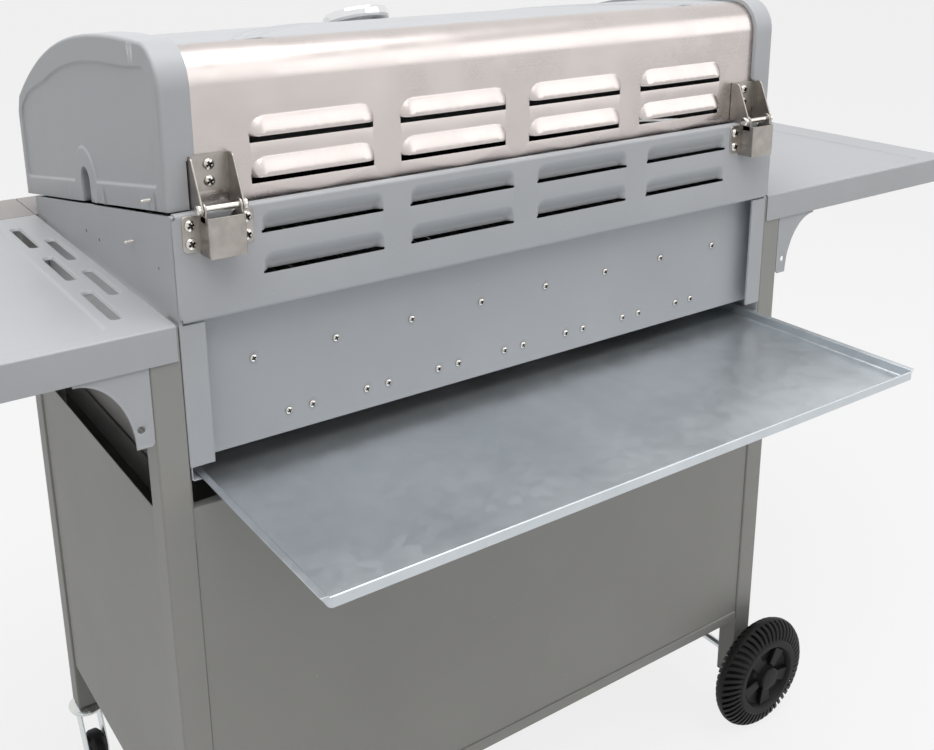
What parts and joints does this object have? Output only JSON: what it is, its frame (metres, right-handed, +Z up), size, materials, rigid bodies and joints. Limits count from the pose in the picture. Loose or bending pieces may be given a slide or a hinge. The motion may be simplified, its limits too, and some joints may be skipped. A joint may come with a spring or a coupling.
{
  "type": "gas grill",
  "caption": "Cart gas barbecue with hinged louvred lid, pull-out grease tray at the rear, side shelves, cupboard doors, wheels at one end and swivel casters at the other.",
  "frame": {"origin": "on the ground under the middle of the part's box, with the grease tray drawn out as in the picture", "axes": "+Z up; +Y towards the rear, where the hinges and the grease tray are; +X towards the caster end; the doors and knobs face -Y"},
  "size_m": [1.706, 0.8952, 1.106],
  "materials": {
    "light_paint": "satin powder coat, light grey",
    "cart_paint": "satin powder coat, darker warm grey",
    "stainless": "satin rolled stainless",
    "zinc_plate": "galvanised sheet and plated steel",
    "bright_steel": "bright plated steel",
    "chrome": "polished",
    "black_plastic": "matt moulded plastic",
    "cast_iron": "matt enamelled"
  },
  "bodies": {
    "frame": {"shelf_caster_end": "light_paint", "shelf_wheel_end": "light_paint", "gusset_caster_end": "light_paint", "gusset_wheel_end": "light_paint", "board_caster_end": "light_paint", "board_wheel_end": "light_paint", "control_panel": "light_paint", "firebox_end_caster": "light_paint", "firebox_end_wheel": "light_paint", "rear_louvre_panel": "light_paint", "rear_lower_panel": "light_paint", "firebox_front_wall": "light_paint", "post_rear_caster_end": "cart_paint", "post_rear_wheel_end": "cart_paint", "post_front_caster_end": "cart_paint", "post_front_wheel_end": "cart_paint", "side_panel_caster_end": "cart_paint", "side_panel_wheel_end": "cart_paint", "back_panel": "cart_paint", "cart_floor": "cart_paint", "cart_rail_caster_end": "cart_paint", "cart_rail_wheel_end": "cart_paint", "door_crossbar": "cart_paint", "burner_1": "stainless", "burner_2": "stainless", "burner_3": "stainless", "burner_4": "stainless", "heat_plate": "stainless", "hinge_base_caster_end": "stainless", "hinge_base_wheel_end": "stainless", "axle": "zinc_plate", "manifold": "zinc_plate", "gas_inlet": "bright_steel", "warming_rack": "chrome", "grate_1": "cast_iron", "grate_2": "cast_iron"},
    "lid": {"lid_shell": "light_paint", "lid_rear_sheet": "stainless", "lid_cap_caster_end": "light_paint", "lid_cap_wheel_end": "light_paint", "lid_handle": "chrome", "thermometer": "bright_steel", "lid_bracket_caster_end": "stainless", "lid_bracket_wheel_end": "stainless"},
    "door_caster_side": {"door_caster_end": "cart_paint", "door_handle_caster_end": "chrome"},
    "door_wheel_side": {"door_wheel_end": "cart_paint", "door_handle_wheel_end": "chrome"},
    "tray": {"grease_tray": "zinc_plate"},
    "igniter": {"igniter_button": "black_plastic"},
    "rear_wheel": {"wheel_rear": "black_plastic"},
    "front_wheel": {"wheel_front": "black_plastic"},
    "rear_caster": {"caster_fork_rear": "zinc_plate"},
    "front_caster": {"caster_fork_front": "zinc_plate"},
    "rear_caster_roller": {"caster_wheel_rear": "black_plastic"},
    "front_caster_roller": {"caster_wheel_front": "black_plastic"},
    "knob_1_body": {"knob_1": "black_plastic"},
    "knob_2_body": {"knob_2": "black_plastic"},
    "knob_3_body": {"knob_3": "black_plastic"},
    "knob_4_body": {"knob_4": "black_plastic"}
  },
  "joints": [
    {"name": "lid_hinge", "type": "hinge", "parent": "frame", "child": "lid", "pos_m": [0, 0.20265, 0.953], "axis": [-1, 0, 0], "range_deg": [0, 85]},
    {"name": "door_caster_side_hinge", "type": "hinge", "parent": "frame", "child": "door_caster_side", "pos_m": [0.4083, -0.29785, 0.4], "axis": [0, 0, 1], "range_deg": [0, 105]},
    {"name": "door_wheel_side_hinge", "type": "hinge", "parent": "frame", "child": "door_wheel_side", "pos_m": [-0.4083, -0.29785, 0.4], "axis": [0, 0, -1], "range_deg": [0, 105]},
    {"name": "tray_slide", "type": "slide", "parent": "frame", "child": "tray", "axis": [0, 1, 0], "range_m": [-0.256, 0.1]},
    {"name": "igniter_press", "type": "slide", "parent": "frame", "child": "igniter", "axis": [0, 1, 0], "range_m": [0, 0.004], "stiffness_N_per_m": 300},
    {"name": "rear_wheel_spin", "type": "hinge", "parent": "frame", "child": "rear_wheel", "pos_m": [-0.4363, 0.20615, 0.088], "axis": [0, 1, 0], "continuous": true},
    {"name": "front_wheel_spin", "type": "hinge", "parent": "frame", "child": "front_wheel", "pos_m": [-0.4363, -0.32335, 0.088], "axis": [0, 1, 0], "continuous": true},
    {"name": "rear_caster_swivel", "type": "hinge", "parent": "frame", "child": "rear_caster", "pos_m": [0.4363, 0.17215, 0.1047], "axis": [0, 0, 1], "continuous": true},
    {"name": "front_caster_swivel", "type": "hinge", "parent": "frame", "child": "front_caster", "pos_m": [0.4363, -0.28935, 0.1047], "axis": [0, 0, 1], "continuous": true},
    {"name": "rear_caster_spin", "type": "hinge", "parent": "rear_caster", "child": "rear_caster_roller", "pos_m": [0.4363, 0.19615, 0.0315], "axis": [1, 0, 0], "continuous": true},
    {"name": "front_caster_spin", "type": "hinge", "parent": "front_caster", "child": "front_caster_roller", "pos_m": [0.4363, -0.26535, 0.0315], "axis": [1, 0, 0], "continuous": true},
    {"name": "knob_1_turn", "type": "hinge", "parent": "frame", "child": "knob_1_body", "pos_m": [-0.2868, -0.41565, 0.765], "axis": [0, -1, 0], "range_deg": [0, 150]},
    {"name": "knob_2_turn", "type": "hinge", "parent": "frame", "child": "knob_2_body", "pos_m": [-0.0956, -0.41565, 0.765], "axis": [0, -1, 0], "range_deg": [0, 150]},
    {"name": "knob_3_turn", "type": "hinge", "parent": "frame", "child": "knob_3_body", "pos_m": [0.0956, -0.41565, 0.765], "axis": [0, -1, 0], "range_deg": [0, 150]},
    {"name": "knob_4_turn", "type": "hinge", "parent": "frame", "child": "knob_4_body", "pos_m": [0.2868, -0.41565, 0.765], "axis": [0, -1, 0], "range_deg": [0, 150]}
  ]
}
